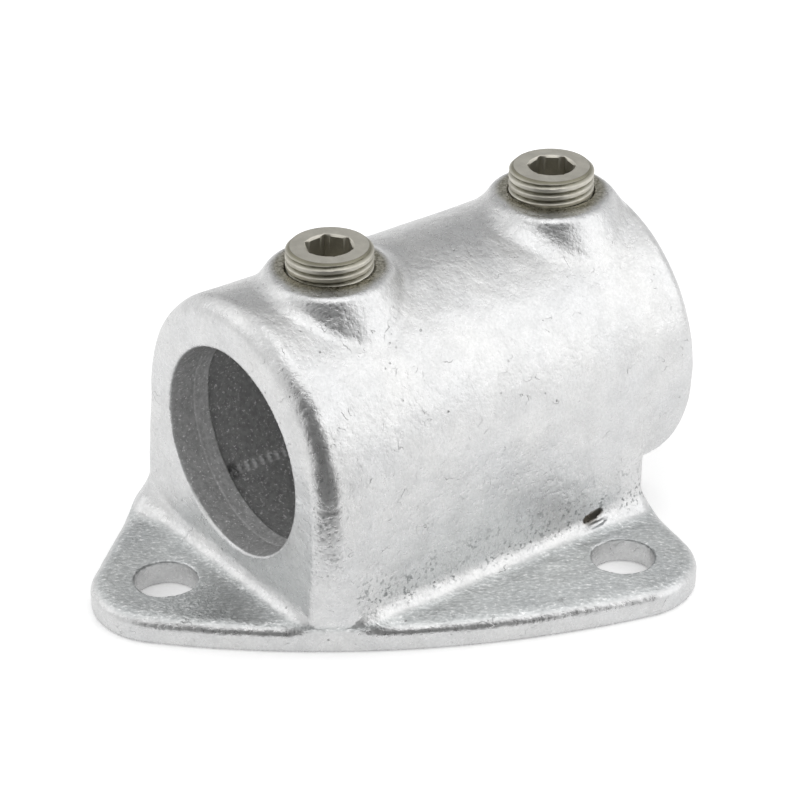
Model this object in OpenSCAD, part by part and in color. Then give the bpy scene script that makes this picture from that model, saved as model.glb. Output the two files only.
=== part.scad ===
// Side palm tube clamp: a cast tube socket on a pedestal, with a two-lobed palm that bolts to a
// wall or beam, and two grub screws in bosses on the crown that grip the tube.
// The tube axis runs along Y. The origin is on the base plane under the axis, midway between the
// screws. The front face looks along -Y, and the palm reaches out ahead of it and beyond the right wall.

/* [Tube socket] */
// Outside diameter of the tube that the socket grips
tube_d = 48.3; // [42:0.1:54]
// Play between the tube and the bore, on the diameter
tube_play = 1.1; // [0.5:0.1:2]
// Wall between the bore and the outside of the socket
socket_wall = 11.3; // [9.5:0.1:14]
// Height of the tube axis above the base
axis_h = 38; // [35:0.5:48]
// Front face of the socket, ahead of the middle between the screws
front_reach = 60.4; // [54:0.2:72]
// Rear end of the socket, behind the middle between the screws
rear_reach = 48.6; // [46:0.2:62]
// Rounding of the front face's edge
front_edge_r = 5.2; // [2:0.2:6]
// Rounding of the rear end's edge
rear_edge_r = 4; // [2:0.2:6]
// Length of the land at each end of the bore
land_l = 8; // [5:0.5:14]
// Depth of the relief between the lands
relief_depth = 1.5; // [0.5:0.1:2.5]
// Length of the slope from a land to the relief
relief_slope = 3; // [1:0.5:5]

/* [Pedestal] */
// Rear face of the pedestal, behind the middle between the screws
pedestal_reach = 34; // [28:0.5:42]
// Rounding of the pedestal's rear corners
pedestal_rear_r = 4; // [2:0.2:6]
// Fillet between the pedestal and the palm
base_fillet_r = 4.5; // [2:0.1:6]

/* [Screw bosses] */
// Distance between the screw axes
screw_pitch = 64; // [54:1:72]
// Diameter of a boss where it leaves the crown
boss_d = 31.2; // [28:0.1:34]
// Height of a boss above the crown of the socket
boss_rise = 2.4; // [1.5:0.1:5]
// Slope of a boss's flank, from the upright
boss_draft = 33; // [10:1:40]
// Rounding of a boss's shoulder
shoulder_r = 3.4; // [1:0.2:5]

/* [Grub screws] */
// Outside diameter of the screw thread
screw_d = 20; // [16:0.5:22]
// Length of a screw
screw_l = 18.5; // [16:0.5:24]
// Gap between the front screw's tip and the bore, as the screw is set
front_tip_gap = 0.2; // [0:0.1:3]
// Gap between the rear screw's tip and the bore, as the screw is set
rear_tip_gap = 1.4; // [0:0.1:3]
// Turn of the front screw, as it is set
front_turn = 35; // [0:1:59]
// Turn of the rear screw, as it is set
rear_turn = 49; // [0:1:59]
// Play between a screw and its hole, on the radius
thread_play = 0.05; // [0.02:0.01:0.15]
// Chamfer at both ends of a screw
screw_chamfer = 1; // [0.3:0.1:1.5]
// Width across the flats of the hexagon socket
hex_af = 10; // [8:0.5:11]
// Depth of the hexagon socket
hex_depth = 9; // [5:0.5:11]
// Diameter of the cup in the screw's tip
cup_d = 13; // [8:0.5:14]
// Depth of the cup in the screw's tip
cup_depth = 2.5; // [1:0.5:4]

/* [Palm] */
// Thickness of the palm
palm_t = 6.5; // [5:0.1:9]
// Rounding of the palm's upper edge
palm_edge_r = 2; // [0.5:0.1:2.6]
// Diameter of the bolt holes
palm_hole_d = 14.6; // [10:0.1:17]
// Front hole's distance ahead of the front face
front_hole_gap = 14.4; // [12:0.2:22]
// Front hole's offset to the left of the tube axis
front_hole_shift = 6.6; // [0:0.2:14]
// Side hole's distance outside the right wall
side_hole_gap = 13.6; // [12:0.2:22]
// Side hole's place behind the middle between the screws
side_hole_reach = 14.6; // [4:0.2:20]
// Radius of the lobe round a hole
lobe_r = 17.2; // [14:0.2:19]
// Radius of the palm's long edge, from lobe to lobe
long_edge_r = 185; // [120:5:400]
// Spread of the palm round the front left corner
front_heel = 4.7; // [3:0.1:8]
// Spread of the palm round the rear corners
rear_heel = 1.6; // [0.5:0.1:5]

/* [Hidden] */
$fn = 96;
overlap = 1;
// Width of the palm's straight rims, and the hair by which they lap inside the rounds that they join
rim_w = 2 * palm_edge_r;
rim_lap = 0.03;
core_inset = (palm_edge_r + rim_w) / 2;
// Distance that the base fillet keeps from the rounded edge of the palm
fillet_setback = 0.2;

bore_r = (tube_d + tube_play) / 2;
socket_r = bore_r + socket_wall;
crown_z = axis_h + socket_r;
boss_top_z = crown_z + boss_rise;
boss_r = boss_d / 2;
// Depth of a boss's foot below the crown, and how far it spreads along the tube
boss_foot = 8;
boss_spread = 0.4;
boss_reach = boss_r + boss_spread;
screw_r = screw_d / 2;
tip_stop_z = axis_h + bore_r;
hex_r = hex_af / sqrt(3);

// Holes of the palm
front_hole = [-front_hole_shift, -front_reach - front_hole_gap];
side_hole = [socket_r + side_hole_gap, side_hole_reach];

// Corners of the pedestal, at the middle of their rounding
front_corner = [socket_r - front_edge_r, -front_reach + front_edge_r];
rear_corner = [socket_r - pedestal_rear_r, pedestal_reach - pedestal_rear_r];

// Long edge: an arc that touches both lobes from outside
half_span = norm(side_hole - front_hole) / 2;
span_dir = (side_hole - front_hole) / (2 * half_span);
arc_drop = sqrt(pow(long_edge_r - lobe_r, 2) - pow(half_span, 2));
arc_centre = (front_hole + side_hole) / 2 + arc_drop * [-span_dir.y, span_dir.x];

// Lobes and heels of the palm's outline, counter-clockwise from the side lobe: [centre, radius]
palm_rounds = [
    [side_hole, lobe_r],
    [rear_corner, pedestal_rear_r + rear_heel],
    [[-rear_corner.x, rear_corner.y], pedestal_rear_r + rear_heel],
    [[-front_corner.x, front_corner.y], front_edge_r + front_heel],
    [front_hole, lobe_r],
];

// Direction of a palm hole as seen from the centre of the long edge
function arc_angle(hole) = atan2(hole.y - arc_centre.y, hole.x - arc_centre.x);

// Point where the long edge touches a lobe, drawn in by inset
function arc_point(hole, inset) =
    arc_centre + (long_edge_r - inset) * [cos(arc_angle(hole)), sin(arc_angle(hole))];

// Outward direction of the straight side that touches two neighbouring rounds from outside
function side_angle(a, b) =
    let (way = b[0] - a[0])
    atan2(way.y, way.x) - acos((a[1] - b[1]) / norm(way));

// Both ends of that side, drawn in by inset
function side_ends(a, b, inset) =
    let (angle = side_angle(a, b), out = [cos(angle), sin(angle)])
    [a[0] + (a[1] - inset) * out, b[0] + (b[1] - inset) * out];

// Straight sides of the palm, as pairs of neighbouring rounds
palm_sides = [for (i = [1 : len(palm_rounds) - 1]) [palm_rounds[i - 1], palm_rounds[i]]];

// Polygon between the points where the palm's edges meet, drawn in by inset
module palm_core(inset) {
    polygon(concat(
        [arc_point(front_hole, inset), arc_point(side_hole, inset)],
        [for (side = palm_sides) each side_ends(side[0], side[1], inset)]
    ));
}

// Whole outline of the palm, drawn in by inset
module palm_outline(inset) {
    palm_core(inset);
    for (round = palm_rounds) {
        translate(round[0]) circle(round[1] - inset);
    }
    intersection() {
        translate(arc_centre) circle(long_edge_r - inset, $fn = 360);
        polygon([front_hole, arc_point(front_hole, -lobe_r), arc_point(side_hole, -lobe_r), side_hole]);
    }
}

// Section of the palm's rim, width wide, with its upper edge rounded
module rim_section(width) {
    square([width, palm_t - palm_edge_r]);
    square([width - palm_edge_r, palm_t]);
    translate([width - palm_edge_r, palm_t - palm_edge_r]) circle(palm_edge_r);
}

// Rim along a straight side of the palm
module side_rim(side) {
    ends = side_ends(side[0], side[1], rim_w + rim_lap);
    length = norm(ends[1] - ends[0]);
    translate([ends[0].x, ends[0].y, 0])
        rotate([90, 0, side_angle(side[0], side[1])])
            translate([0, 0, -length])
                linear_extrude(length) rim_section(rim_w);
}

// Rim along the long edge of the palm
module long_rim() {
    translate([arc_centre.x, arc_centre.y, 0])
        rotate([0, 0, arc_angle(front_hole)])
            rotate_extrude(angle = arc_angle(side_hole) - arc_angle(front_hole), $fn = 360)
                translate([long_edge_r - lobe_r, 0]) rim_section(lobe_r);
}

module palm() {
    linear_extrude(palm_t) palm_core(core_inset);
    for (round = palm_rounds) {
        translate([round[0].x, round[0].y, 0]) rotate_extrude() rim_section(round[1]);
    }
    for (side = palm_sides) {
        side_rim(side);
    }
    long_rim();
}

// Plan of the pedestal, with rounded corners
module pedestal_plan() {
    for (side = [-1, 1]) {
        translate([side * front_corner.x, front_corner.y]) circle(front_edge_r);
        translate([side * rear_corner.x, rear_corner.y]) circle(pedestal_rear_r);
    }
    translate([-front_corner.x, -front_reach]) square([2 * front_corner.x, front_edge_r + overlap]);
    translate([-rear_corner.x, rear_corner.y - overlap])
        square([2 * rear_corner.x, pedestal_rear_r + overlap]);
    translate([-socket_r, front_corner.y]) square([2 * socket_r, rear_corner.y - front_corner.y]);
}

module pedestal() {
    linear_extrude(axis_h) pedestal_plan();
}

// Section of the base fillet, standing on the palm with its wall on the left
module fillet_section() {
    difference() {
        translate([-overlap, -overlap]) square(base_fillet_r + overlap);
        translate([base_fillet_r, base_fillet_r]) circle(base_fillet_r);
    }
}

// Fillet along a straight wall, from a point towards angle, with the open side on the right
module wall_fillet(from, angle, length) {
    translate([from.x, from.y, palm_t])
        rotate([90, 0, angle - 90])
            translate([0, 0, -length])
                linear_extrude(length) fillet_section();
}

// Fillet round a rounded corner, from angle through a quarter turn
module corner_fillet(centre, radius, angle) {
    translate([centre.x, centre.y, palm_t])
        rotate([0, 0, angle])
            rotate_extrude(angle = 90) translate([radius, 0]) fillet_section();
}

// Base fillet round the front, both sides and the right rear corner, inside the palm's rounded edge
module base_fillet() {
    wall_l = rear_corner.y - front_corner.y;
    intersection() {
        union() {
            wall_fillet([-front_corner.x, -front_reach], 0, 2 * front_corner.x);
            wall_fillet([socket_r, front_corner.y], 90, wall_l);
            wall_fillet([-socket_r, rear_corner.y], 270, wall_l);
            corner_fillet(front_corner, front_edge_r, 270);
            corner_fillet([-front_corner.x, front_corner.y], front_edge_r, 180);
            corner_fillet(rear_corner, pedestal_rear_r, 0);
        }
        linear_extrude(axis_h) palm_outline(palm_edge_r + fillet_setback);
    }
}

// Half section of the socket: its length runs along Y, its radius along X
module socket_section() {
    translate([0, -front_reach]) square([socket_r - front_edge_r, front_reach + rear_reach]);
    translate([0, front_corner.y]) square([socket_r, rear_reach - rear_edge_r - front_corner.y]);
    translate([socket_r - front_edge_r, front_corner.y]) circle(front_edge_r);
    translate([socket_r - rear_edge_r, rear_reach - rear_edge_r]) circle(rear_edge_r);
    translate([0, rear_reach - rear_edge_r]) square([socket_r - rear_edge_r, rear_edge_r]);
}

// Half section of the bore, with a land at each end and a relief between them
module bore_section() {
    relief_r = bore_r + relief_depth;
    polygon([
        [0, -front_reach - overlap],
        [bore_r, -front_reach - overlap],
        [bore_r, -front_reach + land_l],
        [relief_r, -front_reach + land_l + relief_slope],
        [relief_r, rear_reach - land_l - relief_slope],
        [bore_r, rear_reach - land_l],
        [bore_r, rear_reach + overlap],
        [0, rear_reach + overlap],
    ]);
}

// Turns a half section about the tube axis
module about_tube_axis() {
    translate([0, 0, axis_h]) rotate([-90, 0, 0]) rotate_extrude() children();
}

// Half section of a boss above the tube axis: a sloping flank, a rounded shoulder and a flat top
module boss_section() {
    foot_z = socket_r - boss_foot;
    top_z = socket_r + boss_rise;
    shoulder_z = top_z - shoulder_r;
    top_r = boss_r - boss_rise * tan(boss_draft);
    shoulder_x = top_r - shoulder_r * (1 - sin(boss_draft)) / cos(boss_draft);
    polygon([
        [0, foot_z],
        [boss_r + boss_foot * tan(boss_draft), foot_z],
        [shoulder_x + shoulder_r * cos(boss_draft), shoulder_z + shoulder_r * sin(boss_draft)],
        [shoulder_x, top_z],
        [0, top_z],
    ]);
    translate([shoulder_x, shoulder_z]) circle(shoulder_r);
}

// Places its children on both screw axes
module at_screws() {
    for (end = [-1, 1]) {
        translate([0, end * screw_pitch / 2, 0]) children();
    }
}

// Places its children on both palm holes
module at_palm_holes() {
    for (hole = [front_hole, side_hole]) {
        translate([hole.x, hole.y, 0]) children();
    }
}

// Hole for a bolt through the palm
module palm_hole() {
    translate([0, 0, -overlap]) cylinder(h = palm_t + 2 * overlap, d = palm_hole_d);
}

// Hole from the bore up through a boss
module screw_hole() {
    translate([0, 0, axis_h])
        cylinder(h = boss_top_z - axis_h + overlap, r = screw_r + thread_play);
}

// Boss that spreads down the flanks of the socket, but not along it
module boss() {
    intersection() {
        translate([0, 0, axis_h]) rotate_extrude() boss_section();
        translate([-socket_r, -boss_reach, axis_h]) cube([2 * socket_r, 2 * boss_reach, boss_top_z]);
    }
}

module clamp_body() {
    color("gainsboro")
        difference() {
            union() {
                palm();
                pedestal();
                base_fillet();
                about_tube_axis() socket_section();
                at_screws() boss();
            }
            about_tube_axis() bore_section();
            at_screws() screw_hole();
            at_palm_holes() palm_hole();
        }
}

// Half section of a grub screw with its cup point at the origin
module screw_section() {
    polygon([
        [0, cup_depth],
        [cup_d / 2, 0],
        [screw_r - screw_chamfer, 0],
        [screw_r, screw_chamfer],
        [screw_r, screw_l - screw_chamfer],
        [screw_r - screw_chamfer, screw_l],
        [0, screw_l],
    ]);
}

module grub_screw() {
    difference() {
        rotate_extrude() screw_section();
        translate([0, 0, screw_l - hex_depth]) cylinder(h = hex_depth + overlap, r = hex_r, $fn = 6);
    }
}

module front_grub_screw() {
    color("darkgray")
        translate([0, -screw_pitch / 2, tip_stop_z + front_tip_gap])
            rotate([0, 0, front_turn]) grub_screw();
}

module rear_grub_screw() {
    color("darkgray")
        translate([0, screw_pitch / 2, tip_stop_z + rear_tip_gap])
            rotate([0, 0, rear_turn]) grub_screw();
}

clamp_body();
front_grub_screw();
rear_grub_screw();
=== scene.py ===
import math

import bpy
import numpy as np
from mathutils import Matrix, Vector


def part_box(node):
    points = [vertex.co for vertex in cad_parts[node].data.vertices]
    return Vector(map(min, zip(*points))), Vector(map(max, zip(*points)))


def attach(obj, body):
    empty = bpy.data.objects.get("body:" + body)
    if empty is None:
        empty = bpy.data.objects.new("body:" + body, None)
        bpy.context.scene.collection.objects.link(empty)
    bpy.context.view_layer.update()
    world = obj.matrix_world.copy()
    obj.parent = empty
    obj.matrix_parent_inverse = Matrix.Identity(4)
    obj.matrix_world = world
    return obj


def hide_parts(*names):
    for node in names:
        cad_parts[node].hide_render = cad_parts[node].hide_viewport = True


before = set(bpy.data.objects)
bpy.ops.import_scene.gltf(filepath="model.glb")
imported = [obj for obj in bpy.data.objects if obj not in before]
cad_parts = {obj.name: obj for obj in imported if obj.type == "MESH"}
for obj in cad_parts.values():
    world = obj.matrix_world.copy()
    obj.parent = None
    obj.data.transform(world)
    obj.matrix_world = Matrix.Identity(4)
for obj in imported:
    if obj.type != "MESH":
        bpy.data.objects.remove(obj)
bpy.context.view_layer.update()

# Sizes are in millimetres, and a mesh turns them into metres as it is made
MM = 0.001

# Tube socket, along Y
AXIS_H = 38.0
BORE_R = 24.7
SOCKET_R = 36.0
FRONT_Y = -60.4
REAR_Y = 48.6
FRONT_EDGE_R = 5.2
REAR_EDGE_R = 4.0
LAND_L = 10.9
RELIEF_DEPTH = 1.5
RELIEF_SLOPE = 0.8
SEAM_TURN = math.radians(225)
SEAM_R = 0.7
SEAM_BEAD_L = 2.1
BEAD_MEAN = 0.6
BEAD_SWING = 0.4
BORE_RIM_R = 0.8

# Pedestal under the socket
PEDESTAL_REAR_Y = 34.0
PEDESTAL_REAR_R = 4.0
NECK_R = 4.0
LEFT_LEAN = 0.12
LEFT_LEAN_OVER = 40.0
BASE_FILLET_R = 4.5
LEFT_FILLET_GROWTH = 5.0
REAR_FILLET_GROWTH = 2.0
LEFT_GROWTH_FROM = 26.0
REAR_GROWTH_FROM = 18.0
GROWTH_OVER = 10.0
CORNER_LEAN = 0.1
CORNER_SOFT_R = 1.5

# Screw bosses on the crown: a boss's radius is the one at the crown's height
SCREW_YS = (-32.0, 32.0)
CROWN_Z = AXIS_H + SOCKET_R
BOSS_R = 15.6
BOSS_REACH = 16.0
BOSS_DRAFT = math.radians(33)
BOSS_TOP_Z = 76.4
BOSS_FOOT_Z = CROWN_Z - 8
SHOULDER_R = 3.4
BOSS_FOOT_RS = (2.5, 4.5)
BOSS_SWELL = 2.4
SWELL_TIGHTENS = 0.6
SWELL_WAY = (math.cos(math.radians(-40)), math.sin(math.radians(-40)))
SCREW_HOLE_R = 10.05
SCREW_HOLE_RIM_R = 0.4

# Palm
PALM_T = 6.5
RIM_LEAN = math.radians(58)
RIM_DROP = 1.4
RIM_SOFT_R = 0.8
ARRIS_R = 0.9
PALM_HOLE_R = 7.3
PALM_HOLE_RIM_R = 0.4
UNDERSIDE_RIM_R = 1.0
FRONT_LOBE_R = 17.3
SIDE_LOBE_R = 17.0
LONG_EDGE_R = 205.0
FRONT_HOLE = np.array([-6.6, -74.8])
SIDE_HOLE = np.array([49.6, 14.6])
FRONT_HEEL_R = 11.5
REAR_HEEL_R = 5.6
FRONT_HEEL = np.array([-30.8, -55.2])
REAR_HEELS = np.array([[32.0, 30.0], [-32.0, 30.0]])

# Flaw in the fillet beside the side lobe's hole: a slot in the skin and the lip under it
FLAW = np.array([36.0, 16.6, 9.6])
FLAW_SIZE = np.array([1.9, 2.6, 0.8])
FLAW_TILT = 0.14
LIP = np.array([37.2, 16.4, 8.0])
LIP_SIZE = np.array([0.9, 4.2, 0.6])
FLAW_RIM_R = 0.3

# Grub screws, each with the height of its tip and its turn
SCREW_R = 10.0
SCREW_L = 18.5
FRONT_TIP_Z = 62.9
REAR_TIP_Z = 64.1
FRONT_TURN = 35 / 360
REAR_TURN = 49 / 360
SCREW_CHAMFER = 1.0
THREAD_PITCH = 2.0
THREAD_DEPTH = 0.7
THREAD_FLAT = 0.8
HEX_AF = 10.0
HEX_DEPTH = 9.0
HEX_LIP = 0.5
TOP_EDGE = 0.15
DRILL_DEPTH = 0.8
CUP_R = 6.5
CUP_DEPTH = 2.5
CUP_WAIST_R = 0.5 * CUP_R
CUP_WAIST_DEPTH = 0.55 * CUP_DEPTH
POLE_R = 0.02
SCREW_STEPS = 96
THREAD_RINGS = 186
SHARP_EDGE = math.radians(32)
# Share of painted shade in the hexagon socket
SOCKET_SHADE = 0.3

# Tones in the bore, with painted shade, a painted highlight line and painted highlights on the beads:
# their depths are shares of the marks' length, and the top's lie above the axis
BORE_MARKS_L = 40.0
BORE_HIGHLIGHT_LINE = 6.9
BORE_MOUTH = 0.3
BORE_SKIN = 1.0
BORE_TOP_FROM = 9.0
BORE_TOP_OVER = 9.0
DARK_SPOT_L = 2.0
DARK_SPOT_R = 2.8
BEADS_FROM_Y = -48.0
BEADS_OVER = 5.0
BEAD_SKIN = 0.6
BEAD_COVER = 1.3
BEAD_SHARE = 0.5

# Tones on the outside: the palm's top with its painted glints, the specks at the wall's foot and corner,
# the flaw, the bosses
PLATE_SKIN = 0.6
PLATE_COVER = 1.5
FOOT_FROM = 1.0
FOOT_FADE_IN = 2.0
FOOT_TO = 16.0
FOOT_FADE_OUT = 12.0
FOOT_CLEAR_OF_FRONT = 8.0
WALL_SKIN = 2.0
CORNER_IN = 2.0
CORNER_SIZE = 4.0
CORNER_COVER = 1.4
CORNER_Z = (14.0, 55.0)
CORNER_FADE = 12.0
CORNER_SHARE = 0.7
FLAW_SKIN = 0.4
FLAW_COVER = 0.7
BOSS_FACE_IN = 2.0
BOSS_FACE_FADE = 1.5
BOSS_FACE_DEEP = 3.0

# Fineness of the casting's skin
SKIN_STEP = 0.7
SKIN_TRIANGLES = 190000
SKIN_MARGIN = 3.0
SLOPE_STEP = 0.12
LEAST_STEEP = 0.25
SETTLE_ROUNDS = 2

# Unevenness of the cast skin: size of the lumps and their height
LUMPS = ((14.0, 0.16, 11), (5.0, 0.07, 12), (2.2, 0.03, 13))
PALM_LUMPS = ((3.6, 0.12, 14), (1.8, 0.06, 15))
PALM_LUMPS_H = 5.0
LATTICE = 24


def rounded_edge(side, end, radius):
    """Distance to a bar from the distances to its side and to its end, with the edge rounded."""
    out_side = np.maximum(side + radius, 0)
    out_end = np.maximum(end + radius, 0)
    return np.hypot(out_side, out_end) + np.minimum(np.maximum(side, end) + radius, 0) - radius


def filleted(a, b, radius):
    """Distance to two solids together, with a hollow fillet of that radius between them."""
    gap = np.hypot(np.maximum(radius - a, 0), np.maximum(radius - b, 0))
    return np.maximum(radius, np.minimum(a, b)) - gap


def hollowed(solid, space, radius):
    """Distance to a solid with a space taken out of it, and the rim between them rounded."""
    gap = np.hypot(np.maximum(radius + solid, 0), np.maximum(radius - space, 0))
    return np.minimum(-radius, np.maximum(solid, -space)) + gap


def fading(radius, facing):
    """Fillet radius that is whole between skins that cross and fades where they face the same way."""
    return radius * np.clip(2 * (1 - facing), 0, 1)


def lattice_noise(points, size, seed):
    """Smooth noise from -1 to 1: random values on a lattice of that size, eased between its corners."""
    lattice = np.random.default_rng(seed).uniform(-1, 1, (LATTICE,) * 3)
    cell = np.floor(points / size).astype(int)
    part = points / size - cell
    part = part * part * (3 - 2 * part)
    total = np.zeros(len(points))
    for corner in np.ndindex(2, 2, 2):
        weight = np.prod(np.where(corner, part, 1 - part), axis=1)
        i, j, k = ((cell + corner) % LATTICE).T
        total += weight * lattice[i, j, k]
    return total


PLAN_LOW = np.array([-70.0, -115.0])
PLAN_SHAPE = (320, 360)
PLAN_STEP = 0.5
PLAN_TANGENTS = 1080


def palm_plan_table():
    """Distance to the palm's outline on a flat grid. The outline is convex, so the distance is the
    greatest overshoot past its tangents: each touches the furthest lobe or heel, or the long arc."""
    across = SIDE_HOLE - FRONT_HOLE
    span = np.linalg.norm(across)
    along = across / span
    to_front, to_side = LONG_EDGE_R - FRONT_LOBE_R, LONG_EDGE_R - SIDE_LOBE_R
    share = (to_front**2 - to_side**2 + span**2) / (2 * span)
    drop = math.sqrt(to_front**2 - share**2)
    arc_centre = FRONT_HOLE + share * along + drop * np.array([-along[1], along[0]])
    ends = [math.atan2(*(hole - arc_centre)[::-1]) for hole in (FRONT_HOLE, SIDE_HOLE)]
    centres = np.array([SIDE_HOLE, *REAR_HEELS, FRONT_HEEL, FRONT_HOLE])
    radii = np.array([SIDE_LOBE_R, REAR_HEEL_R, REAR_HEEL_R, FRONT_HEEL_R, FRONT_LOBE_R])

    x, y = (PLAN_LOW[i] + PLAN_STEP * np.arange(PLAN_SHAPE[i]) for i in range(2))
    x, y = np.meshgrid(x, y, indexing="ij")
    table = np.full(PLAN_SHAPE, -np.inf)
    for angle in np.linspace(-math.pi, math.pi, PLAN_TANGENTS, endpoint=False):
        out = np.array([math.cos(angle), math.sin(angle)])
        reach = (centres @ out + radii).max()
        if ends[0] <= angle <= ends[1]:
            reach = arc_centre @ out + LONG_EDGE_R
        table = np.maximum(table, x * out[0] + y * out[1] - reach)
    return table


PALM_PLAN = palm_plan_table()


def palm_plan(x, y):
    """Distance to the palm's outline, read from its table between the four nearest points."""
    u = np.clip((x - PLAN_LOW[0]) / PLAN_STEP, 0, PLAN_SHAPE[0] - 1.001)
    v = np.clip((y - PLAN_LOW[1]) / PLAN_STEP, 0, PLAN_SHAPE[1] - 1.001)
    i, j = u.astype(int), v.astype(int)
    u, v = u - i, v - j
    near = PALM_PLAN[i, j] * (1 - v) + PALM_PLAN[i, j + 1] * v
    far = PALM_PLAN[i + 1, j] * (1 - v) + PALM_PLAN[i + 1, j + 1] * v
    return near * (1 - u) + far * u


def socket_and_pedestal(x, y, z):
    """Round bar along Y with rounded ends, on a pedestal whose walls run straight down from it, save
    that the left one leans out towards the front. The fillet under the rear overhang is as deep as the
    ledge that the pedestal leaves there."""
    radius = np.hypot(x, z - AXIS_H)
    ends = np.maximum(FRONT_Y - y, y - REAR_Y)
    socket = rounded_edge(radius - SOCKET_R, ends, np.where(y < 0, FRONT_EDGE_R, REAR_EDGE_R))

    below = np.clip(AXIS_H - z, 0, SOCKET_R)
    lean = LEFT_LEAN * below * np.clip(-y / LEFT_LEAN_OVER, 0, 1)
    walls = np.maximum(x, -x - lean) - SOCKET_R
    faces = np.maximum(FRONT_Y - y, y - PEDESTAL_REAR_Y)
    corner_r = np.where(y < 0, FRONT_EDGE_R, PEDESTAL_REAR_R)
    pedestal = np.maximum(rounded_edge(walls, faces, corner_r), z - AXIS_H)

    ledge = SOCKET_R - np.sqrt(SOCKET_R**2 - below**2)
    out_wall = np.maximum(walls + corner_r, 0)
    out_face = np.maximum(faces + corner_r, 1e-9)
    facing = out_wall / np.hypot(out_wall, out_face) * np.abs(x) / np.maximum(radius, 1)
    neck_r = np.where(y > 0, fading(np.minimum(ledge, NECK_R), facing), 0)
    return filleted(socket, pedestal, neck_r)


def boss_section(from_axis, z, swell):
    """Distance to a cone with a flat top and a rounded shoulder, from the radius and the height: past
    the flank, past the top, or on the shoulder's own arc between them. Where the boss swells, its flank
    stands further out and its shoulder is tighter."""
    lean, rise = math.cos(BOSS_DRAFT), math.sin(BOSS_DRAFT)
    shoulder_r = SHOULDER_R - SWELL_TIGHTENS * swell
    top_r = BOSS_R + swell - (BOSS_TOP_Z - CROWN_Z) * math.tan(BOSS_DRAFT)
    out = from_axis - top_r + shoulder_r * (1 - rise) / lean
    up = z - BOSS_TOP_Z + shoulder_r
    flat = np.maximum(lean * out + rise * up, up)
    on_shoulder = (out > 0) & (lean * up > rise * out)
    return np.where(on_shoulder, np.hypot(out, up), flat) - shoulder_r


def with_boss(solid, x, y, z, screw_y, foot_r):
    """Adds a boss that spreads down the flanks of the socket but not along it, and a foot that flows
    into the socket and fades where the boss and the socket face the same way."""
    along = np.abs(y - screw_y)
    from_axis = np.maximum(np.hypot(x, along), 1e-6)
    towards = (x * SWELL_WAY[0] + (y - screw_y) * SWELL_WAY[1]) / from_axis
    swell = BOSS_SWELL * np.maximum(towards, 0) ** 2
    boss = boss_section(from_axis, z, swell)
    boss = np.maximum(boss, np.maximum(along - BOSS_REACH - swell, BOSS_FOOT_Z - z))

    radius = np.maximum(np.hypot(x, z - AXIS_H), 1)
    out_flank = np.maximum(radius - SOCKET_R + REAR_EDGE_R, 1e-9)
    out_end = np.maximum(np.maximum(FRONT_Y - y, y - REAR_Y) + REAR_EDGE_R, 0)
    lean, rise = math.cos(BOSS_DRAFT), math.sin(BOSS_DRAFT)
    upright = out_flank * rise * (z - AXIS_H) / radius
    sideways = lean * (out_flank * x * x / radius + out_end * along) / from_axis
    facing = (upright + sideways) / np.hypot(out_flank, out_end)
    return filleted(solid, boss, fading(foot_r, facing))


def on_palm(body, x, y, z):
    """Sets the body on its palm. The front right corner is cut back to the palm's outline at its foot.
    The base fillet grows towards the left and the rear, and the palm's rim is a broad bevel with a
    tight arris below it, which also trims the fillet where it reaches the outline."""
    plan = palm_plan(x, y)
    at_corner = (x > SOCKET_R / 2) & (y < FRONT_Y / 2)
    cut = np.where(at_corner, plan - CORNER_LEAN * np.maximum(z - PALM_T, 0), -SOCKET_R)
    body = rounded_edge(body, cut, CORNER_SOFT_R)

    to_left = np.clip((-x - LEFT_GROWTH_FROM) / GROWTH_OVER, 0, 1)
    to_rear = np.clip((y - REAR_GROWTH_FROM) / GROWTH_OVER, 0, 1)
    fillet_r = BASE_FILLET_R + LEFT_FILLET_GROWTH * to_left + REAR_FILLET_GROWTH * to_rear
    top = filleted(body, z - PALM_T, fillet_r)
    bevel = math.cos(RIM_LEAN) * plan + math.sin(RIM_LEAN) * (top + RIM_DROP)
    palm = rounded_edge(plan, rounded_edge(bevel, top, RIM_SOFT_R), ARRIS_R)
    return np.minimum(body, palm)


def egg(x, y, z, centre, size):
    """Rough distance to an egg with those half sizes, tilted so that it climbs along Y."""
    x, y, z = x - centre[0], y - centre[1], z - centre[2]
    z = z - FLAW_TILT * y
    reach = np.sqrt((x / size[0]) ** 2 + (y / size[1]) ** 2 + (z / size[2]) ** 2)
    return (reach - 1) * size.min()


def bore_seam(x, y, z):
    """Row of beads along the relieved part of the bore, where the core's two halves met."""
    seam_r = BORE_R + RELIEF_DEPTH
    from_seam = np.hypot(x - seam_r * math.sin(SEAM_TURN), z - AXIS_H - seam_r * math.cos(SEAM_TURN))
    bead_r = SEAM_R * (BEAD_MEAN + BEAD_SWING * np.sin(2 * math.pi * y / SEAM_BEAD_L))
    past_end = np.maximum(FRONT_Y + LAND_L - y, y - REAR_Y + LAND_L)
    return np.maximum(from_seam - bead_r, past_end)


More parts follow.
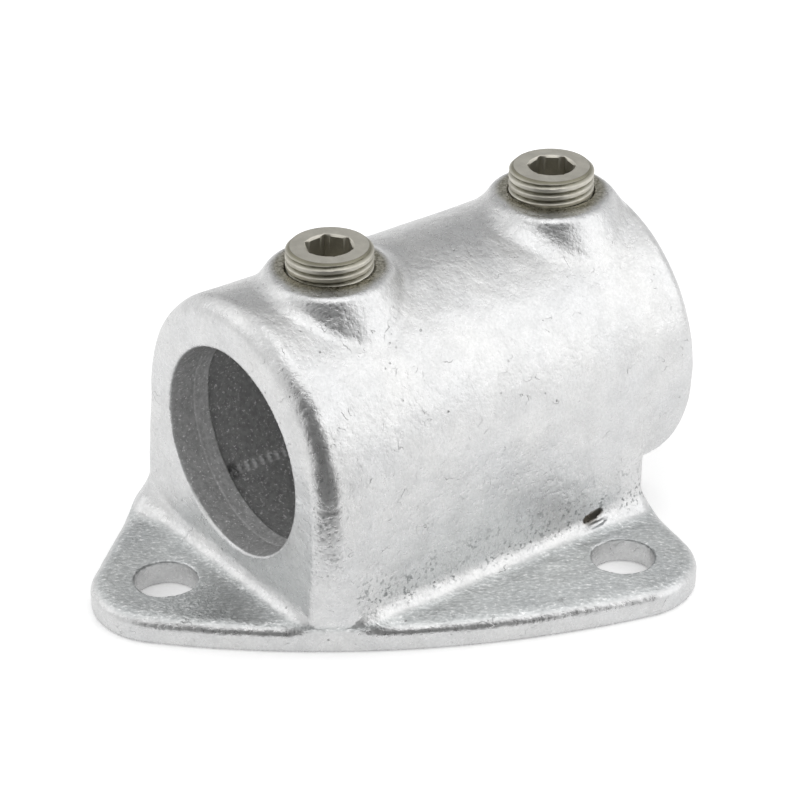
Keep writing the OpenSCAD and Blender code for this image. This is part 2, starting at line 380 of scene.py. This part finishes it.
def casting_form(x, y, z):
    """The casting without its unevenness: pedestal, palm and bosses, less the bore and the holes."""
    form = on_palm(socket_and_pedestal(x, y, z), x, y, z)
    form = filleted(form, egg(x, y, z, LIP, LIP_SIZE), FLAW_RIM_R)
    form = hollowed(form, egg(x, y, z, FLAW, FLAW_SIZE), FLAW_RIM_R)
    for screw_y, foot_r in zip(SCREW_YS, BOSS_FOOT_RS):
        form = with_boss(form, x, y, z, screw_y, foot_r)

    inward = np.minimum(y - FRONT_Y, REAR_Y - y) - LAND_L
    bore_r = BORE_R + RELIEF_DEPTH * np.clip(inward / RELIEF_SLOPE, 0, 1)
    form = hollowed(form, np.hypot(x, z - AXIS_H) - bore_r, BORE_RIM_R)
    form = np.minimum(form, bore_seam(x, y, z))
    for screw_y in SCREW_YS:
        hole = np.maximum(np.hypot(x, y - screw_y) - SCREW_HOLE_R, AXIS_H - z)
        form = hollowed(form, hole, SCREW_HOLE_RIM_R)
    for hole_x, hole_y in (FRONT_HOLE, SIDE_HOLE):
        hole = np.hypot(x - hole_x, y - hole_y) - PALM_HOLE_R
        form = hollowed(form, hole, PALM_HOLE_RIM_R)
    return hollowed(form, z, UNDERSIDE_RIM_R)


def lumps(points):
    """Height of the cast skin's unevenness: three sizes of smooth lumps and two finer ones on and
    just above the palm, none on the underside."""
    z = points[:, 2]
    height = sum(rise * lattice_noise(points, size, seed) for size, rise, seed in LUMPS)
    finer = sum(rise * lattice_noise(points, size, seed) for size, rise, seed in PALM_LUMPS)
    height += finer * np.clip(1 - (z - PALM_T) / PALM_LUMPS_H, 0, 1)
    return height * np.clip(z / PALM_T, 0, 1)


def casting(points):
    """Distance to the casting's skin, with the unevenness added close to it."""
    distance = casting_form(*points.T)
    near = np.abs(distance) < SKIN_MARGIN / 2
    distance[near] -= lumps(points[near])
    return distance


def skin(distance, low, high, step):
    """Surface nets: each grid edge that crosses the surface gives one face between the four cells
    round it, and each cell's corner lies at the middle of the crossings on its edges."""
    axes = [np.arange(a, b + step, step) for a, b in zip(low, high)]
    field = np.empty([len(axis) for axis in axes])
    for i, x in enumerate(axes[0]):
        plane = np.stack(np.meshgrid([x], axes[1], axes[2], indexing="ij"), axis=-1)
        field[i] = distance(plane.reshape(-1, 3)).reshape(field.shape[1:])

    crossings, cells = [], []
    for axis in range(3):
        start = np.take(field, range(field.shape[axis] - 1), axis)
        end = np.take(field, range(1, field.shape[axis]), axis)
        edge = np.argwhere((start < 0) != (end < 0))
        near, far = start[tuple(edge.T)], end[tuple(edge.T)]
        crossing = edge.astype(float)
        crossing[:, axis] += near / (near - far)
        ring = np.zeros((4, 3), int)
        ring[:, (axis + 1) % 3] = (-1, 0, 0, -1)
        ring[:, (axis + 2) % 3] = (-1, -1, 0, 0)
        around = np.ravel_multi_index(np.moveaxis(edge[:, None] + ring, 2, 0), field.shape)
        around[near > 0] = around[near > 0][:, ::-1]
        crossings.append(crossing)
        cells.append(around)

    faces = np.unique(np.concatenate(cells), return_inverse=True)[1].reshape(-1, 4)
    share = np.bincount(faces.ravel())
    corners = np.repeat(np.concatenate(crossings), 4, axis=0)
    points = [np.bincount(faces.ravel(), corners[:, i]) / share for i in range(3)]
    return np.array(low) + step * np.stack(points, axis=1), faces


def slope(distance, points):
    """Direction in which a distance grows fastest, from its values a little to each side."""
    steps = SLOPE_STEP * np.eye(3)
    rise = [distance(points + step) - distance(points - step) for step in steps]
    return np.stack(rise, axis=1) / (2 * SLOPE_STEP)


def settled(distance, points, rounds):
    """Moves points down the slope onto the surface, a few times over."""
    for _ in range(rounds):
        way = slope(distance, points)
        steep = np.maximum((way * way).sum(axis=1), LEAST_STEEP)
        points = points - (distance(points) / steep)[:, None] * way
    return points


def new_mesh(name, points, faces):
    """Mesh from an array of points in millimetres and a list of each face's points."""
    mesh = bpy.data.meshes.new(name)
    mesh.from_pydata((points * MM).tolist(), [], faces)
    mesh.validate()
    return mesh


def new_piece(name, mesh, material, body, node):
    """Object at the origin that rides on a body and stands for a node."""
    mesh.materials.clear()
    mesh.materials.append(material)
    piece = bpy.data.objects.new(name, mesh)
    bpy.context.collection.objects.link(piece)
    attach(piece, body)
    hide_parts(node)
    return piece


def mesh_points(mesh):
    """Points of a mesh as an array, in millimetres."""
    points = np.empty(len(mesh.vertices) * 3)
    mesh.vertices.foreach_get("co", points)
    return points.reshape(-1, 3) / MM


def thinned(mesh, triangles):
    """The mesh with its flattest faces merged until that many triangles are left."""
    rough = bpy.data.objects.new("rough", mesh)
    bpy.context.collection.objects.link(rough)
    count = sum(len(face.vertices) - 2 for face in mesh.polygons)
    thinner = rough.modifiers.new("thinner", "DECIMATE")
    thinner.ratio = min(1, triangles / count)
    result = rough.evaluated_get(bpy.context.evaluated_depsgraph_get())
    made = bpy.data.meshes.new_from_object(result)
    bpy.data.objects.remove(rough)
    return made


def add_share(mesh, name, values):
    """Stores one number from 0 to 1 for each point of a mesh."""
    attribute = mesh.attributes.new(name, "FLOAT", "POINT")
    attribute.data.foreach_set("value", np.clip(values, 0, 1).astype(np.float32))


def foot_tone(x, y, z):
    """Share of dark specks: along the foot of the right wall and up the front right corner."""
    on_wall = np.minimum((z - PALM_T - FOOT_FROM) / FOOT_FADE_IN, (PALM_T + FOOT_TO - z) / FOOT_FADE_OUT)
    on_wall = np.clip(np.minimum(on_wall, 2 - np.abs(x - SOCKET_R) / WALL_SKIN), 0, 1)
    from_corner = np.hypot(x - SOCKET_R + CORNER_IN, y - FRONT_Y - CORNER_IN)
    on_corner = np.clip(CORNER_COVER - from_corner / CORNER_SIZE, 0, 1)
    on_corner = on_corner * np.clip(np.minimum(CORNER_Z[1] - z, z - CORNER_Z[0]) / CORNER_FADE, 0, 1)
    return np.maximum(on_wall * (y > FRONT_Y + FOOT_CLEAR_OF_FRONT), CORNER_SHARE * on_corner)


def casting_tones(x, y, z):
    """Shares that place the tones on the casting, each from the distance to what it marks."""
    depth = np.minimum(y - FRONT_Y, REAR_Y - y)
    relief_r = BORE_R + RELIEF_DEPTH
    in_bore = np.minimum(relief_r + BORE_SKIN - np.hypot(x, z - AXIS_H), 2 * (depth - BORE_MOUTH))
    # Painted highlight on the seam's beads, from a little way into the bore
    bead_glints = np.clip(BEAD_SHARE + np.sin(2 * math.pi * y / SEAM_BEAD_L), 0, 1)
    bead_glints = bead_glints * np.clip((y - BEADS_FROM_Y) / BEADS_OVER, 0, 1)
    # Where the darker painted spot sits: on the seam, just past the land
    spot_x, spot_z = relief_r * math.sin(SEAM_TURN), AXIS_H + relief_r * math.cos(SEAM_TURN)
    from_dark_spot = np.sqrt((x - spot_x) ** 2 + (y - FRONT_Y - LAND_L - DARK_SPOT_L) ** 2 + (z - spot_z) ** 2)
    from_screw = np.minimum(*(np.hypot(x, y - screw_y) for screw_y in SCREW_YS))
    on_boss = z > BOSS_TOP_Z - BOSS_FACE_DEEP
    return {
        "in_bore": in_bore,
        "plate": PLATE_COVER - np.abs(z - PALM_T) / PLATE_SKIN,
        "foot": foot_tone(x, y, z),
        "bore_depth": depth / BORE_MARKS_L,
        "flaw": FLAW_COVER - egg(x, y, z, FLAW, FLAW_SIZE) / FLAW_SKIN,
        # Painted highlight on the seam's beads
        "seam_glint": (BEAD_COVER - np.abs(bore_seam(x, y, z)) / BEAD_SKIN) * bead_glints,
        # Darker spot painted where the seam starts
        "dark_spot": 2 - 2 * from_dark_spot / DARK_SPOT_R,
        # Painted shade on the bore's top
        "bore_top_shade": (z - AXIS_H - BORE_TOP_FROM) / BORE_TOP_OVER,
        "boss_face": (BOSS_R - BOSS_FACE_IN - from_screw) / BOSS_FACE_FADE * on_boss,
    }


def make_casting(material):
    """The casting as one closed skin: netted finely, thinned, settled on its surface, and shaded by
    the surface's own slope."""
    low, high = np.array(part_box("clamp_body")) / MM
    points, faces = skin(casting, low - SKIN_MARGIN, high + SKIN_MARGIN, SKIN_STEP)
    points = settled(casting, points, SETTLE_ROUNDS)
    mesh = thinned(new_mesh("casting", points, faces.tolist()), SKIN_TRIANGLES)
    points = settled(casting, mesh_points(mesh), SETTLE_ROUNDS)
    mesh.vertices.foreach_set("co", (points * MM).ravel())
    mesh.polygons.foreach_set("use_smooth", np.ones(len(mesh.polygons), bool))
    normals = slope(casting, points)
    normals /= np.linalg.norm(normals, axis=1)[:, None]
    mesh.normals_split_custom_set_from_vertices(normals.tolist())

    for name, values in casting_tones(*points.T).items():
        add_share(mesh, name, values)
    return new_piece("cast_body", mesh, material, "body", "clamp_body")


def thread_radius(turn, height):
    """Radius of a sixty-degree thread: a zigzag along the screw that climbs one pitch each turn,
    with its crests and roots cut flat."""
    phase = (height / THREAD_PITCH - turn) % 1
    zigzag = np.clip(2 * np.abs(2 * phase - 1) - THREAD_FLAT, 0, 1)
    return SCREW_R - THREAD_DEPTH * zigzag


def hexagon_radius(turn):
    """Distance from the axis to the hexagon's flats, which repeat six times a turn."""
    return HEX_AF / 2 / np.cos((turn * 6 % 1 - 0.5) * math.pi / 3)


def make_screw(name, screw_y, tip_z, turn, material, body, node):
    """Rings of points carried up the screw: the cup, the thread between two chamfers, the top, then
    down the hexagon's walls to its floor. Each ring is a radius for every turn and a height."""
    turns = np.arange(SCREW_STEPS) / SCREW_STEPS
    heights = np.linspace(0, SCREW_L, THREAD_RINGS)
    inner_r = SCREW_R - SCREW_CHAMFER
    chamfer = inner_r + np.minimum(heights, SCREW_L - heights)[:, None]
    thread = np.minimum(thread_radius(turns, heights[:, None]), chamfer)

    hexagon = hexagon_radius(turns)
    lip = np.maximum(hexagon, HEX_AF / 2 + HEX_LIP)
    floor_z = SCREW_L - HEX_DEPTH
    even = np.ones_like(turns)
    cup = [
        (POLE_R * even, CUP_DEPTH),
        (CUP_WAIST_R * even, CUP_WAIST_DEPTH),
        (CUP_R * even, 0),
    ]
    top = [
        ((inner_r - TOP_EDGE) * even, SCREW_L),
        ((inner_r + lip) / 2, SCREW_L),
        (lip + HEX_LIP / 4, SCREW_L),
        (lip, SCREW_L - HEX_LIP / 4),
    ]
    socket = [
        (hexagon, SCREW_L - HEX_LIP),
        (hexagon, floor_z + HEX_LIP / 2),
        (hexagon - HEX_LIP / 2, floor_z),
        (POLE_R * even, floor_z - DRILL_DEPTH),
    ]
    rings = [*cup, *zip(thread, heights), *top, *socket]
    radius = np.array([ring[0] for ring in rings])
    height = np.array([ring[1] for ring in rings])[:, None] + 0 * radius
    angle = 2 * math.pi * (turns + turn)
    points = np.stack(
        [radius * np.cos(angle), radius * np.sin(angle) + screw_y, height + tip_z], axis=-1
    ).reshape(-1, 3)

    ring, step = np.meshgrid(np.arange(len(rings) - 1), np.arange(SCREW_STEPS), indexing="ij")
    after = (step + 1) % SCREW_STEPS
    corners = [(ring, step), (ring, after), (ring + 1, after), (ring + 1, step)]
    faces = np.stack([i * SCREW_STEPS + j for i, j in corners], axis=-1).reshape(-1, 4)
    first = np.arange(SCREW_STEPS)
    caps = [first[::-1].tolist(), (first + (len(rings) - 1) * SCREW_STEPS).tolist()]
    mesh = new_mesh(name, points, faces.tolist() + caps)
    mesh.polygons.foreach_set("use_smooth", np.ones(len(mesh.polygons), bool))
    mesh.set_sharp_from_angle(angle=SHARP_EDGE)

    # Painted shade in the thread's grooves and, less, in the hexagon socket; none on the top
    groove_shade = np.clip((SCREW_R - radius) / THREAD_DEPTH, 0, 1)
    groove_shade[-len(top + socket) :] = 0
    groove_shade[-len(socket) :] = SOCKET_SHADE
    add_share(mesh, "groove_shade", groove_shade.ravel())
    return new_piece(name, mesh, material, body, node)


def node_tree(material):
    """Clears a material and gives its tree and its surface shader."""
    material.use_nodes = True
    tree = material.node_tree
    tree.nodes.clear()
    output = tree.nodes.new("ShaderNodeOutputMaterial")
    shader = tree.nodes.new("ShaderNodeBsdfPrincipled")
    tree.links.new(shader.outputs["BSDF"], output.inputs["Surface"])
    return tree, shader


def add_node(tree, kind, inputs=None, **settings):
    """Adds a node, sets its properties, and links or sets its inputs."""
    node = tree.nodes.new(kind)
    for name, value in settings.items():
        setattr(node, name, value)
    for name, value in (inputs or {}).items():
        if isinstance(value, bpy.types.NodeSocket):
            tree.links.new(value, node.inputs[name])
        else:
            node.inputs[name].default_value = value
    return node


def ramp(tree, value, stops):
    """Colour ramp with those (place, colour) stops."""
    node = add_node(tree, "ShaderNodeValToRGB", {"Fac": value})
    elements = node.color_ramp.elements
    while len(elements) < len(stops):
        elements.new(0.5)
    for element, (place, colour) in zip(elements, stops):
        element.position = place
        element.color = (*colour, 1)
    return node.outputs["Color"]


def grey(level):
    """Colour with the same level in red, green and blue."""
    return (level, level, level)


def noise(tree, coords, scale, detail=3, roughness=0.55):
    """Noise texture on object coordinates, its scale in waves per metre."""
    inputs = {"Vector": coords, "Scale": scale, "Detail": detail, "Roughness": roughness}
    return add_node(tree, "ShaderNodeTexNoise", inputs).outputs["Fac"]


def mixed(tree, share, first, second, blend="MIX"):
    """Mixes two colours by a share."""
    inputs = {0: share, 6: first, 7: second}
    node = tree.nodes.new("ShaderNodeMix")
    node.data_type = "RGBA"
    node.blend_type = blend
    for index, value in inputs.items():
        if isinstance(value, bpy.types.NodeSocket):
            tree.links.new(value, node.inputs[index])
        elif index == 0:
            node.inputs[0].default_value = value
        else:
            node.inputs[index].default_value = (*value, 1)
    return node.outputs[2]


def bumped(tree, height, depth, below=None):
    """Normal bent by a height from 0 to 1, its depth in millimetres, on top of another bend."""
    inputs = {"Height": height, "Distance": depth * MM}
    if below:
        inputs["Normal"] = below
    return add_node(tree, "ShaderNodeBump", inputs).outputs["Normal"]


def tone(tree, name):
    """Share stored under that name on the points of a mesh."""
    return add_node(tree, "ShaderNodeAttribute", attribute_name=name).outputs["Fac"]


def galvanised_zinc():
    """Hot-dip zinc on a sand casting: pale, a little cloudy, with a fine grain all over, dark pits in
    loose clusters and thin wrinkles where the zinc ran. The palm's top is streaked, with painted
    glints, dark specks crowd the wall's foot, and the flaw is brown. The bore is dull, and dark partly
    from its scale and partly from painted shade past its lands and at its top, with a painted
    highlight line on a land, painted glints, the beads on its seam painted white as highlights and a
    darker spot before them. The tops of the bosses are olive where a chromate wash has dried."""
    material = bpy.data.materials.new("galvanised_zinc")
    tree, shader = node_tree(material)
    coords = add_node(tree, "ShaderNodeTexCoord").outputs["Object"]
    in_bore, plate, foot, depth = (tone(tree, name) for name in ("in_bore", "plate", "foot", "bore_depth"))
    flaw, seam_glint, dark_spot = (tone(tree, name) for name in ("flaw", "seam_glint", "dark_spot"))
    bore_top_shade, boss_face = (tone(tree, name) for name in ("bore_top_shade", "boss_face"))

    cloud = noise(tree, coords, 70, 4)
    swell = noise(tree, coords, 260, 2)
    mottle = noise(tree, coords, 800, 3)
    grain = noise(tree, coords, 1500, 3, 0.65)
    drawn = add_node(
        tree,
        "ShaderNodeMapping",
        {"Vector": coords, "Rotation": (0, 0, CAMERA_AZIMUTH), "Scale": (1.6, 1, 1)},
        vector_type="TEXTURE",
    ).outputs["Vector"]
    streaks = noise(tree, drawn, 1500, 3, 0.6)
    blotch = noise(tree, coords, 190, 3)

    stray = add_node(tree, "ShaderNodeTexNoise", {"Vector": coords, "Scale": 900.0}).outputs["Color"]
    stray = add_node(
        tree,
        "ShaderNodeVectorMath",
        {0: stray, 1: (0.0009,) * 3, 2: coords},
        operation="MULTIPLY_ADD",
    ).outputs["Vector"]
    cells = add_node(tree, "ShaderNodeTexVoronoi", {"Vector": stray, "Scale": 330.0})
    pits = ramp(tree, cells.outputs["Distance"], [(0.06, grey(1)), (0.12, grey(0))])
    clusters = ramp(tree, noise(tree, coords, 110, 3), [(0.52, grey(0)), (0.66, grey(1))])
    clusters = mixed(tree, 1.0, clusters, foot, "LIGHTEN")
    pits = mixed(tree, 1.0, pits, clusters, "MULTIPLY")
    folds = [(0.491, grey(0)), (0.5, grey(0.7)), (0.509, grey(0))]
    wrinkles = ramp(tree, noise(tree, stray, 190, 2), folds)
    runs = ramp(tree, noise(tree, coords, 170, 2), [(0.58, grey(0)), (0.68, grey(1))])
    wrinkles = mixed(tree, 1.0, wrinkles, runs, "MULTIPLY")
    marks = mixed(tree, 1.0, pits, wrinkles, "LIGHTEN")

    colour = ramp(tree, cloud, [(0.3, (0.70, 0.705, 0.71)), (0.7, (0.75, 0.75, 0.745))])
    patches = ramp(tree, blotch, [(0.38, grey(0.93)), (0.60, grey(1))])
    colour = mixed(tree, 1.0, colour, patches, "MULTIPLY")
    shade = ramp(tree, grain, [(0.36, grey(0.90)), (0.64, grey(1))])
    plate_shade = ramp(tree, streaks, [(0.38, (0.72, 0.74, 0.74)), (0.62, (0.98, 1, 1))])
    shade = mixed(tree, plate, shade, plate_shade)
    colour = mixed(tree, 1.0, colour, shade, "MULTIPLY")
    # Painted glints: the palm's top is painted near white where its streaks peak
    painted_glints = ramp(tree, streaks, [(0.60, grey(0)), (0.69, grey(1))])
    painted_glints = mixed(tree, 1.0, painted_glints, plate, "MULTIPLY")
    colour = mixed(tree, painted_glints, colour, grey(0.96))
    crowd = ramp(tree, noise(tree, coords, 240, 2), [(0.38, grey(0.2)), (0.60, grey(1))])
    crowd = mixed(tree, 1.0, crowd, foot, "MULTIPLY")
    specks = ramp(tree, noise(tree, coords, 1100, 3), [(0.54, grey(0)), (0.62, grey(1))])
    specks = mixed(tree, 1.0, specks, crowd, "MULTIPLY")
    colour = mixed(tree, specks, colour, (0.22, 0.23, 0.23))
    colour = mixed(tree, marks, colour, (0.30, 0.30, 0.30))
    # Painted light in the bore: a painted highlight line across the land where its step would catch the
    # light, and painted shade that darkens the bore past the lands
    highlight_line, edge = BORE_HIGHLIGHT_LINE / BORE_MARKS_L, LAND_L / BORE_MARKS_L
    land_light_and_shade = [
        (highlight_line - 0.010, grey(0.46)),
        (highlight_line, grey(0.72)),
        (highlight_line + 0.010, grey(0.54)),
        (edge - 0.010, grey(0.62)),
        (edge + 0.005, grey(0.40)),
    ]
    # Painted shade on the bore's top, where the land is lit more from the mouth
    high_land_shade = ramp(tree, depth, [(edge - 0.010, grey(0.37)), (edge + 0.005, grey(0.44))])
    bore_tone_and_shade = mixed(tree, bore_top_shade, ramp(tree, depth, land_light_and_shade), high_land_shade)
    worn = ramp(tree, mottle, [(0.36, grey(0.72)), (0.64, grey(1))])
    bore_tone_and_shade = mixed(tree, 1.0, bore_tone_and_shade, worn, "MULTIPLY")
    # Painted glints: bright specks in the bore's colour
    glints = ramp(tree, grain, [(0.58, grey(0)), (0.66, grey(0.8))])
    bore_tone_and_shade = mixed(tree, glints, bore_tone_and_shade, grey(0.9))
    ragged = ramp(tree, mottle, [(0.42, grey(0)), (0.52, grey(1))])
    # A darker spot painted where the seam starts, just past the land
    bore_tone_and_shade = mixed(tree, mixed(tree, 1.0, dark_spot, ragged, "MULTIPLY"), bore_tone_and_shade, grey(0.12))
    # Painted highlights: the seam's beads are painted white
    bore_tone_and_shade = mixed(tree, seam_glint, bore_tone_and_shade, grey(1.0))
    colour = mixed(tree, in_bore, colour, bore_tone_and_shade)
    colour = mixed(tree, flaw, colour, (0.22, 0.19, 0.14))
    olive = ramp(tree, grain, [(0.4, (0.20, 0.19, 0.14)), (0.6, (0.48, 0.46, 0.39))])
    colour = mixed(tree, boss_face, colour, olive)
    tree.links.new(colour, shader.inputs["Base Color"])
    bare = ramp(tree, in_bore, [(0.0, grey(1)), (1.0, grey(0.2))])
    # The beads with painted highlights are not metal, so that their white shows
    bare = mixed(tree, seam_glint, bare, grey(0))
    tree.links.new(bare, shader.inputs["Metallic"])

    rough = ramp(tree, mottle, [(0.3, grey(0.24)), (0.7, grey(0.36))])
    rough = mixed(tree, plate, rough, grey(0.36))
    rough = mixed(tree, in_bore, rough, grey(0.5))
    tree.links.new(rough, shader.inputs["Roughness"])

    bend = bumped(tree, swell, 0.2)
    bend = bumped(tree, mottle, 0.12, bend)
    bend = bumped(tree, mixed(tree, 1.0, streaks, plate, "MULTIPLY"), 0.2, bend)
    bend = bumped(tree, grain, 0.1, bend)
    hollow = ramp(tree, marks, [(0.0, grey(1)), (1.0, grey(0))])
    bend = bumped(tree, hollow, 0.12, bend)
    tree.links.new(bend, shader.inputs["Normal"])
    return material


def plated_steel():
    """Warm satin plating, bright on the crests, with painted shade that makes the grooves and the socket
    dull and dark.
    """
    material = bpy.data.materials.new("plated_steel")
    tree, shader = node_tree(material)
    coords = add_node(tree, "ShaderNodeTexCoord").outputs["Object"]
    groove_shade = tone(tree, "groove_shade")
    cloud = noise(tree, coords, 300, 4)
    grain = noise(tree, coords, 2500, 2)
    colour = ramp(tree, cloud, [(0.3, (0.54, 0.52, 0.46)), (0.7, (0.66, 0.64, 0.57))])
    # Painted shade in the grooves and the socket
    colour = mixed(tree, groove_shade, colour, (0.22, 0.21, 0.16))
    tree.links.new(colour, shader.inputs["Base Color"])
    shader.inputs["Metallic"].default_value = 1
    rough = ramp(tree, grain, [(0.3, grey(0.36)), (0.7, grey(0.50))])
    tree.links.new(rough, shader.inputs["Roughness"])
    bump = add_node(tree, "ShaderNodeBump", {"Height": grain, "Strength": 0.2, "Distance": 0.0001})
    tree.links.new(bump.outputs["Normal"], shader.inputs["Normal"])
    return material


# Camera, as fitted to the bore, the screws and the palm's holes
CAMERA_AZIMUTH = math.radians(53.058)
CAMERA_ELEVATION = math.radians(29.812)
CAMERA_ROLL = math.radians(-0.228)
CAMERA_DISTANCE = 724.37
LOOK_AT = Vector((-16.644, 0.0, 22.964))
LENS = 135.0
SENSOR_W = 36.0
NEAR_CLIP = 0.01


def make_camera():
    """Camera behind its look-at point by its distance, turned by its roll."""
    away = Vector(
        (
            math.sin(CAMERA_AZIMUTH) * math.cos(CAMERA_ELEVATION),
            -math.cos(CAMERA_AZIMUTH) * math.cos(CAMERA_ELEVATION),
            math.sin(CAMERA_ELEVATION),
        )
    )
    right = Vector((math.cos(CAMERA_AZIMUTH), math.sin(CAMERA_AZIMUTH), 0))
    up = away.cross(right)
    rolled_right = math.cos(CAMERA_ROLL) * right + math.sin(CAMERA_ROLL) * up
    rolled_up = math.cos(CAMERA_ROLL) * up - math.sin(CAMERA_ROLL) * right
    data = bpy.data.cameras.new("camera")
    data.lens = LENS
    data.sensor_width = SENSOR_W
    data.clip_start = NEAR_CLIP
    camera = bpy.data.objects.new("camera", data)
    turn = Matrix((rolled_right, rolled_up, away)).transposed().to_4x4()
    camera.matrix_world = Matrix.Translation((LOOK_AT + CAMERA_DISTANCE * away) * MM) @ turn
    bpy.context.collection.objects.link(camera)
    bpy.context.scene.camera = camera


# Studio: ways from the fitting, floor, world and the card that lies on the floor
AHEAD = np.array([math.sin(CAMERA_AZIMUTH), -math.cos(CAMERA_AZIMUTH), 0])
ACROSS = np.array([math.cos(CAMERA_AZIMUTH), math.sin(CAMERA_AZIMUTH), 0])
UP = np.array([0, 0, 1.0])
FLOOR_COLOUR = grey(0.9)
FLOOR_GLOW = 0.25
FLOOR_GLOW_IN_METAL = 0.18
FLOOR_HALF = 3000
WORLD_LEVEL = 0.85
FLOOR_CARD = ((105, -110), (420, -330), (420, 330), (105, 60))
FLOOR_CARD_LIFT = 0.5


def flat_material(name, colour):
    """Plain matt paint for the floor and the cards."""
    material = bpy.data.materials.new(name)
    tree, shader = node_tree(material)
    shader.inputs["Base Color"].default_value = (*colour, 1)
    shader.inputs["Roughness"].default_value = 0.9
    shader.inputs["Specular IOR Level"].default_value = 0
    return material


def make_flat(name, corners, material):
    """One flat sheet through its corners, in millimetres, which isn't part of the object."""
    mesh = new_mesh(name, np.array(corners, float), [[0, 1, 2, 3]])
    mesh.materials.append(material)
    sheet = bpy.data.objects.new(name, mesh)
    bpy.context.collection.objects.link(sheet)
    return sheet


def glow_for_eye_and_mirror(tree, to_eye, to_mirror):
    """Strength of a glow that only rays from the camera and from mirroring surfaces meet."""
    path = add_node(tree, "ShaderNodeLightPath")
    seen = add_node(
        tree,
        "ShaderNodeMath",
        {0: path.outputs["Is Camera Ray"], 1: to_eye},
        operation="MULTIPLY",
    )
    either = add_node(
        tree,
        "ShaderNodeMath",
        {0: path.outputs["Is Glossy Ray"], 1: to_mirror, 2: seen.outputs[0]},
        operation="MULTIPLY_ADD",
    )
    return either.outputs[0]


def floor_material():
    """Matt white paint with a little light of its own to the eye, so that it reads as white while
    the fitting's shadow stays on it."""
    material = flat_material("floor_white", FLOOR_COLOUR)
    tree = material.node_tree
    level = glow_for_eye_and_mirror(tree, FLOOR_GLOW, FLOOR_GLOW_IN_METAL)
    glow = add_node(tree, "ShaderNodeEmission", {"Strength": level})
    both = tree.nodes.new("ShaderNodeAddShader")
    tree.links.new(tree.nodes["Principled BSDF"].outputs["BSDF"], both.inputs[0])
    tree.links.new(glow.outputs["Emission"], both.inputs[1])
    tree.links.new(both.outputs["Shader"], tree.nodes["Material Output"].inputs["Surface"])
    return material


def make_card(name, corners, level):
    """Matt card that only the metal mirrors, through its corners in millimetres."""
    card = make_flat(name, corners, flat_material(name, grey(level)))
    card.visible_camera = False
    card.visible_diffuse = False
    card.visible_shadow = False


def make_lamp(name, place, size, radiance):
    """Square soft lamp at a place in metres, turned towards the fitting."""
    lamp = bpy.data.lights.new(name, "AREA")
    lamp.shape = "SQUARE"
    lamp.size = size
    lamp.energy = radiance * math.pi * size * size
    holder = bpy.data.objects.new(name, lamp)
    holder.location = place
    holder.rotation_euler = Vector(place).to_track_quat("Z", "Y").to_euler()
    bpy.context.collection.objects.link(holder)


def upright(ahead_by, left, right, low, high):
    """Corners of a standing card, that far ahead of the fitting towards the camera."""
    corners = [(left, low), (right, low), (right, high), (left, high)]
    return [ACROSS * t + UP * h + AHEAD * ahead_by for t, h in corners]


def make_studio():
    """White floor under even white light, three large soft lamps, and four cards that the metal
    mirrors: a dark one on the floor ahead of the picture, a dark one standing beyond it, and two grey
    ones behind the fitting, one above the other."""
    corners = [(-1, -1, 0), (1, -1, 0), (1, 1, 0), (-1, 1, 0)]
    make_flat("floor", FLOOR_HALF * np.array(corners), floor_material())
    lying = [AHEAD * s + ACROSS * t + UP * FLOOR_CARD_LIFT for s, t in FLOOR_CARD]
    make_card("dark_card", lying, 0.2)
    standing = {"left": -330, "right": 330, "low": 0, "high": 560}
    make_card("front_card", upright(430, **standing), 0.18)
    make_card("back_card", upright(-600, left=-330, right=370, low=110, high=430), 0.57)
    make_card("high_card", upright(-600, left=-330, right=370, low=430, high=760), 0.39)
    make_lamp("overhead", place=(0.1, 0.0, 0.8), size=0.6, radiance=0.7)
    make_lamp("right_side", place=(0.6, 0.56, 0.52), size=0.95, radiance=0.62)
    make_lamp("left_front", place=(-0.55, -0.5, 0.55), size=0.6, radiance=0.5)

    world = bpy.data.worlds.new("studio")
    world.use_nodes = True
    background = world.node_tree.nodes["Background"]
    background.inputs["Color"].default_value = (1, 1, 1, 1)
    background.inputs["Strength"].default_value = WORLD_LEVEL
    bpy.context.scene.world = world
    bpy.context.scene.view_settings.view_transform = "Standard"


make_camera()
make_studio()
zinc = galvanised_zinc()
steel = plated_steel()
make_casting(zinc)
front_y, rear_y = SCREW_YS
front = (front_y, FRONT_TIP_Z, FRONT_TURN)
rear = (rear_y, REAR_TIP_Z, REAR_TURN)
make_screw("front_screw_threaded", *front, steel, "front_screw", "front_grub_screw")
make_screw("rear_screw_threaded", *rear, steel, "rear_screw", "rear_grub_screw")
